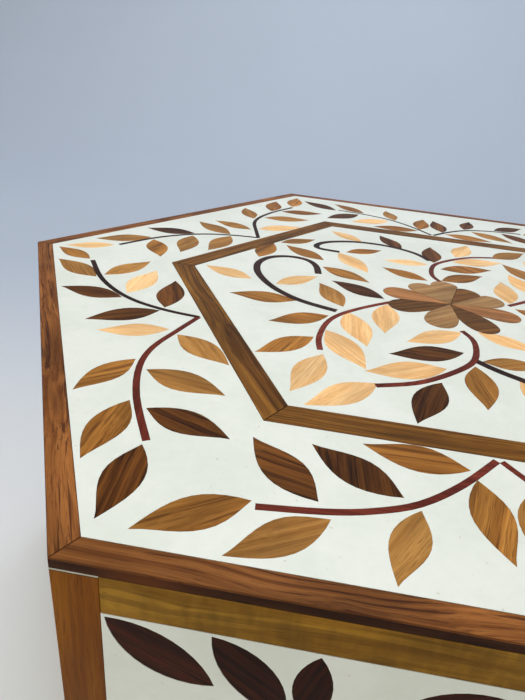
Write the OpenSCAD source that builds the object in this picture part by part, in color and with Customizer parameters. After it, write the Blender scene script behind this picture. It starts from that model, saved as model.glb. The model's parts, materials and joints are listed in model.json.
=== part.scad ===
// Hexagonal inlaid box with a deep hinged lid.
// Origin at the centre of the base, +Z up, the front face looks along -Y and the hinges are at +Y.
// Faces are numbered from the front, anticlockwise seen from above: 1 front, 4 back.

/* [Box] */
// Height from the base felt to the top of the lid
box_h = 150; // [120:1:200]
// Width across the flats of the hexagon
across_flats = 300; // [260:1:340]
// Height of the case's rim, where the lid starts
seam_h = 90; // [75:1:100]
// Gap between the case's rim and the lid
seam_gap = 0.3; // [0.2:0.1:0.6]
// Thickness of the inlaid skin
skin_t = 2.3; // [2:0.1:3]
// Thickness of the core walls
wall_t = 9; // [8:0.5:12]
// Thickness of the top board and of the floor board
board_t = 8; // [6:0.5:10]
// Depth of the rabbets that hold the boards
rabbet = 4; // [3:0.5:5]
// Thickness of the linings and of the base felt
lining_t = 1; // [0.5:0.1:2]

/* [Frame and band] */
// Width of the outer frame strips
frame_w = 5.7; // [5:0.1:8]
// Width of the band strips round the centre panel
band_w = 8.5; // [6:0.1:10]
// Width of the stiles at the corners
stile_w = 9; // [7:0.5:12]
// Height of the rails
rail_h = 9.4; // [8:0.1:12]
// Line of resin over the stiles' ends
filler_h = 0.4; // [0.3:0.1:1]

/* [Inlay] */
// Width of the border vines
vine_w = 1.9; // [1.5:0.1:2.5]
// Width of the curled vines
curl_w = 3; // [2:0.1:3.5]
// Width of a leaf against its length
leaf_ratio = 0.39; // [0.3:0.01:0.45]
// Points along one side of a leaf
leaf_steps = 11; // [8:1:14]

/* [Hinges] */
// Distance of each hinge from the middle of the back
hinge_x = 50; // [40:1:55]
// Length of a hinge
hinge_l = 40; // [30:1:50]
// Thickness of a hinge leaf
leaf_t = 1.1; // [0.9:0.1:1.5]
// Depth of a leaf from the back face
leaf_d = 10; // [9:0.5:10.5]
// Outer radius of the knuckles
knuckle_r = 2.5; // [2.3:0.1:2.7]
// Radius of the pin
pin_r = 1.2; // [1:0.1:1.4]
// Clearance round the pin
pin_clear = 0.05; // [0.02:0.01:0.1]
// Angle at which the stop lugs meet the lid's back
open_angle = 100; // [95:1:105]

/* [Hidden] */
$fn = 48;

DARK = "dark";
BROWN = "brown";
TAN = "tan";
PALE = "pale";
RED = "red";
LEAF_WOODS = [DARK, BROWN, TAN, PALE];
VINE_WOODS = [DARK, RED];

SIDES = [1 : 6];
BACK = 4;
half_flats = across_flats / 2;
core_half = half_flats - skin_t;
inner_half = core_half - wall_t;
half_edge = half_flats * tan(30);
core_half_edge = core_half * tan(30);
top_core_z = box_h - skin_t;
lid_z = seam_h + seam_gap;
panel_half = half_edge - stile_w;
lining_gap = 4;
// How far the band's outer edge lies inside the lid's edge, for faces 1 to 6
band_inset = [49.7, 49.8, 51.6, 56.6, 51.6, 49.8];

// ---- Hexagon geometry ----

function side_angle(k) = 270 + 60 * (k - 1);

// Where the lines of faces k and k + 1 meet when they lie d1 and d2 from the centre
function corner(k, d1, d2) =
    let (a = side_angle(k), b = side_angle(k + 1), s = sin(b - a))
    [(d1 * sin(b) - d2 * sin(a)) / s, (d2 * cos(a) - d1 * cos(b)) / s];

function at(list, k) = list[(k + 5) % 6];
function even(d) = [for (k = SIDES) d];
band_outer = [for (inset = band_inset) half_flats - inset];
band_inner = [for (d = band_outer) d - band_w];

function ring_corner(k, dists) = corner(k, at(dists, k), at(dists, k + 1));

module hexagon(dists) {
    polygon([for (k = SIDES) ring_corner(k, dists)]);
}

// Mitred strip of face k between two rings
module mitred(k, outer, inner) {
    polygon([ring_corner(k - 1, outer), ring_corner(k, outer),
        ring_corner(k, inner), ring_corner(k - 1, inner)]);
}

module hex_plate(half, z0, z1) {
    translate([0, 0, z0]) linear_extrude(z1 - z0) hexagon(even(half));
}

module hex_ring(outer, inner, z0, z1) {
    translate([0, 0, z0]) linear_extrude(z1 - z0) difference() {
        hexagon(even(outer));
        hexagon(even(inner));
    }
}

// Children made for the front face, turned to every face
module each_face() {
    for (k = SIDES) rotate([0, 0, 60 * (k - 1)]) children();
}

// 2D children with x along the front face and y as height, as thick as the skin
module on_front() {
    translate([0, -core_half, 0]) rotate([90, 0, 0]) linear_extrude(skin_t) children();
}

// ---- Leaf, vine and petal outlines ----

// A leaf from its base a to its tip b: one side is a full curve, the other swings in at both ends
function leaf_points(a, b, side) =
    let (l = norm(b - a), d = (b - a) / l, n = [-d[1], d[0]] * side, half = l * leaf_ratio / 2, s = leaf_steps)
    concat(
        [for (i = [0 : s]) a + d * (l * i / s) + n * (half * 1.05 * sin(180 * pow(i / s, 0.92)))],
        [for (i = [s - 1 : -1 : 1])
            a + d * (l * i / s) - n * (half * 0.95 * pow(sin(180 * pow(i / s, 0.85)), 1.3))]);

module leaf(a, b, side) {
    polygon(leaf_points(a, b, side));
}

// Disc through the two ends of a chord of length l along X that rises h above it, or falls below it for s = -1
module bulge(l, h, s) {
    r = (l * l / 4 + h * h) / (2 * h);
    translate([l / 2, s * (h - r)]) circle(r, $fn = 180);
}

// A plain leaf between two arcs, fuller on one side, for the side panels
module arc_leaf(a, b, side, ratio) {
    l = norm(b - a);
    translate(a) rotate(atan2(b[1] - a[1], b[0] - a[0])) intersection() {
        bulge(l, l * ratio * 0.57, side);
        bulge(l, l * ratio * 0.43, -side);
    }
}

// Point on a smooth curve through pts, i counts the points and t runs from 0 to 1 between two of them
function curve_at(pts, i, t) =
    let (p0 = pts[max(i - 1, 0)], p1 = pts[i], p2 = pts[i + 1], p3 = pts[min(i + 2, len(pts) - 1)])
    0.5 * (2 * p1 + (p2 - p0) * t + (2 * p0 - 5 * p1 + 4 * p2 - p3) * t * t
        + (3 * p1 - p0 - 3 * p2 + p3) * t * t * t);

function curve(pts, steps) = concat(
    [for (i = [0 : len(pts) - 2]) for (j = [0 : steps - 1]) curve_at(pts, i, j / steps)],
    [pts[len(pts) - 1]]);

function direction(pts, i) =
    let (v = pts[min(i + 1, len(pts) - 1)] - pts[max(i - 1, 0)]) v / norm(v);

function edge(pts, off) = [for (i = [0 : len(pts) - 1])
    let (d = direction(pts, i)) pts[i] + [-d[1], d[0]] * off];

function backwards(list) = [for (i = [len(list) - 1 : -1 : 0]) list[i]];

vine_steps = 4;

// A bent strip of wood of one width along a smooth curve
module vine(pts, width = vine_w) {
    path = curve(pts, vine_steps);
    polygon(concat(edge(path, width / 2), backwards(edge(path, -width / 2))));
}

// ---- Border pattern: one half of a face, u along the band from its middle, v outwards from it ----
// A leaf is [base, tip, side]; the first three lie inside the vine, the next three outside, the last at its tip

FRONT_VINE = [[0.6, 1.2], [10, 12], [20, 20.5], [30, 25], [40, 27.5], [54, 29.3]];
FRONT_LEAVES = [
    [[7.5, 6.5], [33, 2.8], -1], [[23.5, 19.5], [45, 6], -1], [[41.5, 25], [59, 7], -1],
    [[6.5, 9.5], [2.7, 33.5], 1], [[20, 22.5], [25.5, 42.8], 1], [[38.5, 29.3], [57.5, 42.8], -1],
    [[55, 27.8], [76, 40.5], 1]];
LOW_VINE = [[-3.2, 1.4], [5, 10], [14.5, 19.5], [25, 25], [40, 28], [58.5, 28.5]];
LOW_LEAVES = [
    [[8, 11], [30, 0.6], 1], [[27, 23.5], [45, 6], 1], [[45.5, 26.5], [63, 10], 1],
    [[4, 12.5], [0, 34], 1], [[20.5, 25.3], [33, 42.8], -1], [[41, 29.8], [61, 42.8], -1],
    [[59.5, 29.6], [79.6, 41.6], 1]];
HIGH_VINE = [[3, 1.3], [10, 10.5], [19, 19], [30, 25], [44, 28.8], [62, 30]];
HIGH_LEAVES = [
    [[12.5, 11], [36, 2.5], 1], [[27, 21.5], [47.5, 7.5], 1], [[45.5, 27.3], [58, 8], 1],
    [[10.5, 12.8], [8, 37], 1], [[23.5, 23.5], [36.5, 42.8], 1], [[44, 30.3], [65, 42.6], 1],
    [[63.6, 31], [79.8, 41.9], 1]];

// One half face: [face, +1 towards the next face or -1, vine, leaves, woods, vine wood]
BORDER = [
    [1, -1, FRONT_VINE, FRONT_LEAVES, [BROWN, DARK, DARK, BROWN, TAN, TAN, BROWN], RED],
    [1, 1, FRONT_VINE, FRONT_LEAVES, [BROWN, DARK, DARK, TAN, BROWN, TAN, BROWN], RED],
    [6, 1, LOW_VINE, LOW_LEAVES, [TAN, TAN, DARK, PALE, BROWN, BROWN, DARK], RED],
    [6, -1, HIGH_VINE, HIGH_LEAVES, [DARK, PALE, TAN, DARK, DARK, TAN, BROWN], DARK],
    [5, 1, HIGH_VINE, HIGH_LEAVES, [TAN, TAN, BROWN, TAN, DARK, TAN, PALE], DARK],
    [5, -1, LOW_VINE, LOW_LEAVES, [PALE, TAN, BROWN, TAN, TAN, BROWN, BROWN], DARK],
    [4, 1, FRONT_VINE, FRONT_LEAVES, [BROWN, PALE, DARK, BROWN, TAN, BROWN, DARK], DARK],
    [4, -1, FRONT_VINE, FRONT_LEAVES, [BROWN, TAN, DARK, DARK, DARK, DARK, TAN], DARK],
    [3, 1, LOW_VINE, LOW_LEAVES, [TAN, PALE, BROWN, DARK, TAN, PALE, BROWN], DARK],
    [3, -1, HIGH_VINE, HIGH_LEAVES, [PALE, TAN, DARK, BROWN, TAN, BROWN, TAN], DARK],
    [2, 1, HIGH_VINE, HIGH_LEAVES, [BROWN, TAN, PALE, DARK, BROWN, TAN, DARK], DARK],
    [2, -1, LOW_VINE, LOW_LEAVES, [DARK, BROWN, TAN, PALE, BROWN, DARK, BROWN], RED]];

// A border point in the plane of the lid
function border_point(half, p) =
    let (k = half[0], a = side_angle(k), n = [cos(a), sin(a)], t = [-n[1], n[0]] * half[1])
    n * (at(band_outer, k) + p[1]) + t * p[0];

module border_leaves(wood) {
    for (half = BORDER) for (i = [0 : len(half[3]) - 1]) if (half[4][i] == wood) {
        l = half[3][i];
        leaf(border_point(half, l[0]), border_point(half, l[1]), l[2] * half[1]);
    }
}

module border_vines(wood) {
    for (half = BORDER) if (half[5] == wood) vine([for (p = half[2]) border_point(half, p)]);
}

// ---- Centre pattern: every piece and its copy turned by half a turn about the flower ----

flower = [-1, -4];
NONE = "";
BOTH = [0, 180];
// A leaf is [base, tip, side, wood, wood of the turned copy], no wood leaves that copy out
CENTRE_LEAVES = [
    [[-79, -3], [-100, 5], 1, PALE, TAN], [[-69, -5], [-53.5, 10], 1, PALE, BROWN],
    [[-26, -4.5], [-48, 7.5], -1, DARK, BROWN], [[-41.5, -18], [-52.5, 3], -1, TAN, PALE],
    [[-59, -18.6], [-84, -20], -1, BROWN, PALE], [[-46, -27.5], [-66, -39], 1, BROWN, PALE],
    [[-49.5, -46], [-66, -62], 1, BROWN, PALE], [[-40, -22], [-32, -47.5], 1, PALE, PALE],
    [[-25, -9.5], [-26, -35.5], -1, PALE, PALE], [[-46.2, -39.5], [-32, -62.5], 1, PALE, TAN],
    [[-45.5, -57], [-52.5, -81], 1, PALE, PALE], [[-28.5, -69.6], [-48, -86.5], 1, PALE, TAN],
    [[-7, -54.5], [-32.5, -63.5], 1, PALE, PALE], [[0, -41.5], [-25, -50], 1, DARK, BROWN],
    [[1, -25.5], [-19, -39.5], 1, PALE, BROWN], [[-9.5, -63.5], [-18, -87], -1, DARK, PALE],
    [[2.3, -50], [2.1, -75], 1, BROWN, DARK], [[-7, 23.6], [-27, 33.4], 1, BROWN, PALE],
    [[-5.2, 46], [-26, 44], 1, PALE, TAN], [[-53, 22.8], [-32, 11], 1, BROWN, BROWN],
    [[-47.5, 45], [-33, 23], 1, PALE, TAN], [[-44, 47.5], [-27, 58], -1, BROWN, PALE],
    [[-53, 31.5], [-72.5, 46], 1, BROWN, TAN], [[-81.5, 24], [-79.5, 48], -1, BROWN, DARK],
    [[-75.5, 48.5], [-60, 61], -1, TAN, BROWN], [[-17, 64.5], [-28, 84], 1, DARK, NONE],
    [[-37, 67.8], [-54, 80], -1, PALE, NONE], [[-15, 54.8], [-23, 75], 1, NONE, PALE],
    [[-37, 64.8], [-53, 77.5], -1, NONE, BROWN]];
// A vine is [wood, width, turns, points]
CENTRE_VINES = [
    [RED, 2, BOTH, [[-24, -7], [-34, -16], [-42, -25], [-46.3, -34], [-47.8, -46], [-46.6, -54.5]]],
    [DARK, curl_w, BOTH, [[-43.6, -22.6], [-57, -18], [-67, -11], [-74.2, -2.3], [-79, 7.6], [-80, 17.6], [-76.5, 25.6],
        [-69, 30], [-61, 29], [-56, 23], [-53.8, 13]]],
    [RED, 2.2, BOTH, [[1.4, -24], [4.5, -31], [4, -41], [1, -49], [-7, -58], [-17, -66], [-29, -71]]],
    [DARK, curl_w, [0], [[-4, 52], [-11, 61], [-24, 66.6], [-39, 66.6], [-52, 61], [-58, 54], [-57, 48],
        [-47, 46.6]]],
    [DARK, curl_w, [180], [[-2.5, 45.5], [-9, 50.5], [-16, 54.5], [-27, 60.5], [-40, 63.8], [-52, 60.5],
        [-58, 54], [-57, 48], [-47, 46.6]]]];
// A petal is [direction, length, wood]
PETALS = [
    [168, 27, BROWN], [127, 22.5, TAN], [91, 25, TAN], [60, 21.5, DARK], [28, 25, TAN],
    [-13, 27, BROWN], [-60, 26.3, DARK], [-107, 25, TAN], [-156, 26.5, DARK]];
petal_w = 16.2;
petal_heart = 9;
petal_steps = 14;

module centre_leaves(wood) {
    for (turn = BOTH) translate(flower) rotate(turn)
        for (l = CENTRE_LEAVES) if (l[turn == 0 ? 3 : 4] == wood) leaf(l[0], l[1], l[2]);
}

module centre_vines(wood) {
    for (v = CENTRE_VINES) if (v[0] == wood)
        for (turn = v[2]) translate(flower) rotate(turn) vine(v[3], v[1]);
}

// Half width of a petal along its length: a teardrop with a round outer end
function petal_half(t) = petal_w / 2 * sqrt(t * max(0, 1 - pow(t, 5)));

module petal_drop(l) {
    ts = [for (i = [1 : petal_steps]) sin(90 * i / petal_steps)];
    polygon(concat([[0, 0]], [for (t = ts) [t * l, -petal_half(t)]],
        [for (i = [petal_steps - 2 : -1 : 0]) [ts[i] * l, petal_half(ts[i])]]));
}

// The wedge between a petal's two neighbours, so that petals meet on straight joints
module petal_wedge(i) {
    n = len(PETALS);
    me = PETALS[i][0];
    before = (i == 0) ? PETALS[n - 1][0] + 360 : PETALS[i - 1][0];
    after = (i == n - 1) ? PETALS[0][0] - 360 : PETALS[i + 1][0];
    reach = 40;
    polygon([[0, 0], for (a = [(me + before) / 2, me, (me + after) / 2]) reach * [cos(a), sin(a)]]);
}

// Within petal_heart of the centre the petals fill the whole round
module petals(wood) {
    translate(flower) for (i = [0 : len(PETALS) - 1]) if (PETALS[i][2] == wood) intersection() {
        union() {
            rotate(PETALS[i][0]) petal_drop(PETALS[i][1]);
            circle(petal_heart);
        }
        petal_wedge(i);
    }
}

// The outline of the whole flower
module all_petals() {
    translate(flower) circle(petal_heart - 1);
    for (wood = [DARK, BROWN, TAN]) petals(wood);
}

// ---- Side patterns, x from the middle of a face and y as height ----

LID_VINE = [[4, 115.5], [18, 112.5], [33, 112], [48, 114], [60, 116.5]];
LID_LEAVES = [
    [[56, 123.6], [77, 137.6], -1], [[42.3, 118], [57, 137.6], 1], [[37.2, 118.5], [37, 137.4], -1],
    [[1, 134.6], [20.5, 128.6], -1], [[14, 116], [31, 127], 1], [[57, 115.5], [74, 103], 1],
    [[40, 112.5], [57, 101.4], 1], [[24, 111.6], [40, 101.2], 1], [[8, 113.4], [22, 101.6], 1]];
LID_BUD = [[0, 117], [0, 131.5]];
LID_BUD_LOW = [[0, 114.5], [0, 101.2]];

body_mid_z = (seam_h + lining_t) / 2;
BODY_VINE = [[9, 5], [20, 15], [35, 20], [50, 17], [60, 8]];
BODY_LEAVES = [
    [[14, 12.6], [3, 30], -1], [[27, 20.8], [20, 34.2], -1], [[41, 22.2], [38, 34.4], -1],
    [[51.5, 18.6], [68, 33], -1], [[57.5, 14], [75.5, 17], -1], [[22, 14], [38, 5], 1],
    [[37, 17.6], [51, 6.5], -1], [[61, 6.8], [73, 2.5], 1]];
BODY_BUD_REACH = 9.5;

module mirrored_x() {
    children();
    mirror([1, 0]) children();
}

module lid_side_leaf_shapes() {
    mirrored_x() for (l = LID_LEAVES) arc_leaf(l[0], l[1], l[2], 0.4);
    arc_leaf(LID_BUD[0], LID_BUD[1], 1, 0.55);
    arc_leaf(LID_BUD_LOW[0], LID_BUD_LOW[1], 1, 0.55);
}

module lid_side_vine_shapes() {
    mirrored_x() vine(LID_VINE);
}

module body_quarters() {
    translate([0, body_mid_z]) for (flip = [0, 1]) mirror([0, flip]) mirrored_x() children();
}

module body_side_leaf_shapes() {
    body_quarters() for (l = BODY_LEAVES) arc_leaf(l[0], l[1], l[2], 0.4);
    translate([0, body_mid_z]) for (turn = [0 : 60 : 300])
        rotate(turn) arc_leaf([0.6, 0], [BODY_BUD_REACH + 1, 0], 1, 0.6);
}

module body_side_vine_shapes() {
    body_quarters() vine(BODY_VINE);
}

// ---- Walls ----

// Everything the hinges need cut out of a wall or rail: mortises and pilot holes
module hinge_recess(up) {
    for (side = [-1, 1]) translate([side * hinge_x, 0, up > 0 ? lid_z : seam_h])
        mirror([0, 0, up > 0 ? 0 : 1]) {
        translate([-hinge_l / 2, half_flats - leaf_d, 0]) cube([hinge_l, leaf_d + 1, leaf_t]);
        for (x = screw_xs) translate([x, screw_y, 0]) cylinder(r = screw_r + pin_clear, h = screw_l + 0.5);
    }
}

// Core wall of face k, with the rabbet of its board at the bottom or at the top
module core_wall(k, z0, z1, board_z) {
    difference() {
        translate([0, 0, z0]) linear_extrude(z1 - z0) mitred(k, even(core_half), even(inner_half));
        translate([0, 0, board_z]) linear_extrude(board_t)
            mitred(k, even(inner_half + rabbet), even(inner_half - 1));
    }
}

module body_wall(k) {
    color("burlywood") difference() {
        core_wall(k, lining_t, seam_h, lining_t);
        if (k == BACK) hinge_recess(-1);
    }
}

module lid_wall(k) {
    color("burlywood") difference() {
        core_wall(k, lid_z, top_core_z, top_core_z - board_t);
        if (k == BACK) hinge_recess(1);
    }
}

// ---- Case ----

module base_felt() {
    color("darkslategray") hex_plate(core_half - 2, 0, lining_t);
}

module floor_board() {
    color("burlywood") hex_plate(inner_half + rabbet, lining_t, lining_t + board_t);
}

module wall_lining() {
    color("maroon") hex_ring(inner_half, inner_half - lining_t, lining_t + board_t, seam_h - lining_gap);
}

module floor_lining() {
    color("maroon") hex_plate(inner_half - lining_t, lining_t + board_t, board_t + 2 * lining_t);
}

// Mitred stiles at both ends of the front face
module stile_pair(z0, z1) {
    for (m = [0, 1]) mirror([m, 0, 0]) translate([0, 0, z0]) linear_extrude(z1 - z0)
        polygon([[panel_half, -half_flats], [half_edge, -half_flats],
            [core_half_edge, -core_half], [panel_half, -core_half]]);
}

module rail(z0) {
    on_front() translate([-panel_half, z0]) square([2 * panel_half, rail_h]);
}

module panel(z0, z1) {
    translate([-panel_half, z0]) square([2 * panel_half, z1 - z0]);
}

module body_stiles() {
    color("saddlebrown") each_face() stile_pair(lining_t, seam_h);
}

module body_top_rails() {
    color("peru") difference() {
        each_face() rail(seam_h - rail_h);
        hinge_recess(-1);
    }
}

module body_bottom_rails() {
    color("peru") each_face() rail(lining_t);
}

module body_side_resin() {
    color("ivory") each_face() on_front() difference() {
        panel(lining_t + rail_h, seam_h - rail_h);
        body_side_leaf_shapes();
        body_side_vine_shapes();
    }
}

module body_side_leaves() {
    color([0.3, 0.12, 0.08]) each_face() on_front() difference() {
        body_side_leaf_shapes();
        body_side_vine_shapes();
    }
}

module body_side_vines() {
    color([0.25, 0.14, 0.12]) each_face() on_front() body_side_vine_shapes();
}

// ---- Lid ----

module lid_top_board() {
    color("burlywood") hex_plate(inner_half + rabbet, top_core_z - board_t, top_core_z);
}

module lid_lining() {
    ceiling = top_core_z - board_t;
    color("maroon") {
        hex_ring(inner_half, inner_half - lining_t, lid_z + lining_gap, ceiling);
        hex_plate(inner_half - lining_t, ceiling - lining_t, ceiling);
    }
}

module lid_stiles() {
    color("saddlebrown") each_face() stile_pair(lid_z, top_core_z - filler_h);
}

module lid_top_rails() {
    color("peru") each_face() rail(top_core_z - rail_h);
}

module lid_bottom_rails() {
    color("peru") difference() {
        each_face() rail(lid_z);
        hinge_recess(1);
    }
}

module lid_side_resin() {
    color("ivory") each_face() {
        on_front() difference() {
            panel(lid_z + rail_h, top_core_z - rail_h);
            lid_side_leaf_shapes();
            lid_side_vine_shapes();
        }
        stile_pair(top_core_z - filler_h, top_core_z);
    }
}

module lid_side_leaves() {
    color([0.3, 0.12, 0.08]) each_face() on_front() difference() {
        lid_side_leaf_shapes();
        lid_side_vine_shapes();
    }
}

module lid_side_vines() {
    color([0.25, 0.14, 0.12]) each_face() on_front() lid_side_vine_shapes();
}

// 2D children laid in the top skin
module top_skin() {
    translate([0, 0, top_core_z]) linear_extrude(skin_t) children();
}

module frame_strip(k) {
    color("sienna") top_skin() mitred(k, even(half_flats), even(half_flats - frame_w));
}

module band_strip(k) {
    color([0.42, 0.26, 0.12]) top_skin() mitred(k, band_outer, band_inner);
}

// The field of the border, between the frame and the band
module border_field() {
    difference() {
        hexagon(even(half_flats - frame_w));
        hexagon(band_outer);
    }
}

module border_resin() {
    color("ivory") top_skin() difference() {
        border_field();
        for (wood = LEAF_WOODS) border_leaves(wood);
        for (wood = VINE_WOODS) border_vines(wood);
    }
}

module centre_resin() {
    color("ivory") top_skin() difference() {
        hexagon(band_inner);
        for (wood = LEAF_WOODS) centre_leaves(wood);
        for (wood = VINE_WOODS) centre_vines(wood);
        all_petals();
    }
}

module top_leaves(wood) {
    top_skin() {
        difference() {
            intersection() {
                border_leaves(wood);
                border_field();
            }
            for (vine_wood = VINE_WOODS) border_vines(vine_wood);
        }
        difference() {
            intersection() {
                centre_leaves(wood);
                hexagon(band_inner);
            }
            for (vine_wood = VINE_WOODS) centre_vines(vine_wood);
            all_petals();
        }
    }
}

module leaves_dark() { color([0.29, 0.15, 0.08]) top_leaves(DARK); }
module leaves_brown() { color([0.5, 0.31, 0.17]) top_leaves(BROWN); }
module leaves_tan() { color([0.66, 0.5, 0.3]) top_leaves(TAN); }
module leaves_pale() { color([0.86, 0.68, 0.44]) top_leaves(PALE); }

// The dark vines end against the red stems
module vines_dark() {
    color([0.24, 0.15, 0.14]) top_skin() difference() {
        union() {
            border_vines(DARK);
            centre_vines(DARK);
        }
        border_vines(RED);
        centre_vines(RED);
        all_petals();
    }
}

module vines_red() {
    color([0.44, 0.2, 0.16]) top_skin() difference() {
        union() {
            border_vines(RED);
            centre_vines(RED);
        }
        all_petals();
    }
}

module petals_dark() { color([0.35, 0.22, 0.1]) top_skin() petals(DARK); }
module petals_brown() { color([0.6, 0.43, 0.28]) top_skin() petals(BROWN); }
module petals_tan() { color([0.7, 0.57, 0.4]) top_skin() petals(TAN); }

// ---- Hinges: the axis runs along X just behind the back face, level with the seam ----

axis_y = half_flats + knuckle_r + 0.3;
axis_z = seam_h + seam_gap / 2;
knuckle_gap = 0.3;
knuckle_l = (hinge_l - 2 * knuckle_gap) / 3;
knuckle_step = knuckle_l + knuckle_gap;
screw_r = 1.1;
screw_l = 12;
screw_head_r = 2.3;
screw_head_h = 1;
screw_y = half_flats - 5.5;
screw_xs = [-14, 0, 14];
stop_clear = 0.1;
lug_reach = 6.5;
lug_foot = 0.4;
lug_root = [1.6, -1.8];
pin_head_t = 0.8;
pin_head_r = pin_r + 0.6;
slot_w = 0.5;
slot_d = 0.4;

module both_hinges() {
    for (side = [-1, 1]) translate([side * hinge_x, 0, 0]) children();
}

// Cylinder along X, centred on the hinge axis
module along_axis(r, x0, l) {
    translate([x0, axis_y, axis_z]) rotate([0, 90, 0]) cylinder(r = r, h = l);
}

// Flat leaf with its knuckles, as for the lid: the plate lies above the seam plane z0
module butt_leaf(z0, knuckles) {
    difference() {
        union() {
            translate([-hinge_l / 2, half_flats - leaf_d, z0]) cube([hinge_l, leaf_d - 0.1, leaf_t]);
            for (i = knuckles) {
                x0 = -hinge_l / 2 + i * knuckle_step;
                translate([x0, half_flats - 1, z0]) cube([knuckle_l, axis_y - half_flats + 1, leaf_t]);
                along_axis(knuckle_r, x0, knuckle_l);
            }
        }
        along_axis(pin_r + pin_clear, -hinge_l / 2 - 1, hinge_l + 2);
    }
}

module screw_sinks(z0, up) {
    for (x = screw_xs) translate([x, screw_y, z0]) mirror([0, 0, up > 0 ? 0 : 1]) {
        translate([0, 0, -0.01]) cylinder(r = screw_r + pin_clear, h = leaf_t + 0.02);
        translate([0, 0, -0.01]) cylinder(r1 = screw_head_r + pin_clear, r2 = screw_r + pin_clear, h = screw_head_h);
    }
}

// Lug behind a case knuckle; its top face lies just under the lid's back face when the lid is fully open
module stop_lug(i) {
    d = axis_y - half_flats - stop_clear;
    s = sin(open_angle);
    c = -cos(open_angle);
    difference() {
        translate([-hinge_l / 2 + i * knuckle_step, axis_y, axis_z])
            rotate([90, 0, 90]) linear_extrude(knuckle_l)
            polygon([[0, d / s], [lug_reach, (d - c * lug_reach) / s], [lug_reach, lug_foot], lug_root, [0, 0]]);
        along_axis(pin_r + pin_clear, -hinge_l / 2 - 1, hinge_l + 2);
    }
}

module hinge_case_leaves() {
    color("goldenrod") both_hinges() difference() {
        union() {
            butt_leaf(seam_h - leaf_t, [0, 2]);
            for (i = [0, 2]) stop_lug(i);
        }
        screw_sinks(seam_h, -1);
    }
}

module hinge_lid_leaves() {
    color("goldenrod") both_hinges() difference() {
        butt_leaf(lid_z, [1]);
        screw_sinks(lid_z, 1);
    }
}

module hinge_pins() {
    color("gold") both_hinges() {
        along_axis(pin_r, -hinge_l / 2, hinge_l);
        for (x = [-hinge_l / 2 - pin_head_t, hinge_l / 2]) along_axis(pin_head_r, x, pin_head_t);
    }
}

// Countersunk slotted screw, its head flush with z = 0 and its shank going up
module screw() {
    difference() {
        union() {
            cylinder(r1 = screw_head_r, r2 = screw_r, h = screw_head_h);
            cylinder(r = screw_r, h = screw_l);
        }
        translate([-screw_head_r, -slot_w / 2, slot_d - 1]) cube([2 * screw_head_r, slot_w, 1]);
    }
}

module hinge_case_screws() {
    color("gold") both_hinges() for (x = screw_xs)
        translate([x, screw_y, seam_h]) mirror([0, 0, 1]) screw();
}

module hinge_lid_screws() {
    color("gold") both_hinges() for (x = screw_xs) translate([x, screw_y, lid_z]) screw();
}

base_felt();
floor_board();
for (k = SIDES) body_wall(k);
body_stiles();
body_top_rails();
body_bottom_rails();
body_side_resin();
body_side_leaves();
body_side_vines();
wall_lining();
floor_lining();
for (k = SIDES) lid_wall(k);
lid_top_board();
lid_lining();
lid_stiles();
lid_top_rails();
lid_bottom_rails();
lid_side_resin();
lid_side_leaves();
lid_side_vines();
for (k = SIDES) frame_strip(k);
for (k = SIDES) band_strip(k);
border_resin();
centre_resin();
leaves_dark();
leaves_brown();
leaves_tan();
leaves_pale();
vines_dark();
vines_red();
petals_dark();
petals_brown();
petals_tan();
hinge_case_leaves();
hinge_lid_leaves();
hinge_pins();
hinge_case_screws();
hinge_lid_screws();
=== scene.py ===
"""Looks of the inlaid hexagonal box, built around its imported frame."""

import json
import logging
import math
import random
from dataclasses import dataclass
from enum import Enum
from functools import cache
from typing import Callable, ClassVar, Sequence

import bpy
import numpy as np
from mathutils import Matrix, Vector


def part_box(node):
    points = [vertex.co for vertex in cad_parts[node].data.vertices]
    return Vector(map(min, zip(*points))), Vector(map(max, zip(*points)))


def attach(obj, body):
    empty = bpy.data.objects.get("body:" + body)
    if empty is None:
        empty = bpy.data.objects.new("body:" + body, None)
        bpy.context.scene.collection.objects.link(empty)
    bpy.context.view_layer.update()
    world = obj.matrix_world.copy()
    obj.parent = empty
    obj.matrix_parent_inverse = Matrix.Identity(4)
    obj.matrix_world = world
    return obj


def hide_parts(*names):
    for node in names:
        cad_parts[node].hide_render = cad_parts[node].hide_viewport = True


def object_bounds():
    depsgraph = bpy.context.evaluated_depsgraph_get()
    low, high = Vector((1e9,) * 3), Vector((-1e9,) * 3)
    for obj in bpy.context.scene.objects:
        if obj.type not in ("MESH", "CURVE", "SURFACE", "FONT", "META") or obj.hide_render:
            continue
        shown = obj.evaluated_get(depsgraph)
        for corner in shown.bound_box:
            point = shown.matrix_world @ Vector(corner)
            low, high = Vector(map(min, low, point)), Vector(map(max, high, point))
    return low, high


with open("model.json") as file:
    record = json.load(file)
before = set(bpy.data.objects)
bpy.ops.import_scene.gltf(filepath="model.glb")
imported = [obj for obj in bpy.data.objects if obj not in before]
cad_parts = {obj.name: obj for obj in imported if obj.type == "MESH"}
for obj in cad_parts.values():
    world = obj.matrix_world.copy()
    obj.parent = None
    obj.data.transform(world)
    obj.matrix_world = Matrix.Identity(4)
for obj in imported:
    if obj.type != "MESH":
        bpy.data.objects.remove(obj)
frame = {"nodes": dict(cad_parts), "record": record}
CAD_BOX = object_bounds()
LOG = logging.getLogger("box")
MM = 1000.0
FACES = 6
SECTOR = math.pi / FACES
SAME_POINT = 2e-6
SAME_PLANE = math.radians(0.5)
Colour = tuple[float, float, float]


def srgb(red: int, green: int, blue: int) -> Colour:
    """Turn a display colour into the linear colour that shaders use.

    Args:
        red: red from 0 to 255.
        green: green from 0 to 255.
        blue: blue from 0 to 255.

    Returns:
        The linear colour.
    """
    def linear(level: float) -> float:
        """One channel, from 0 to 1."""
        return level / 12.92 if level <= 0.04045 else ((level + 0.055) / 1.055) ** 2.4
    return linear(red / 255), linear(green / 255), linear(blue / 255)


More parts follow.
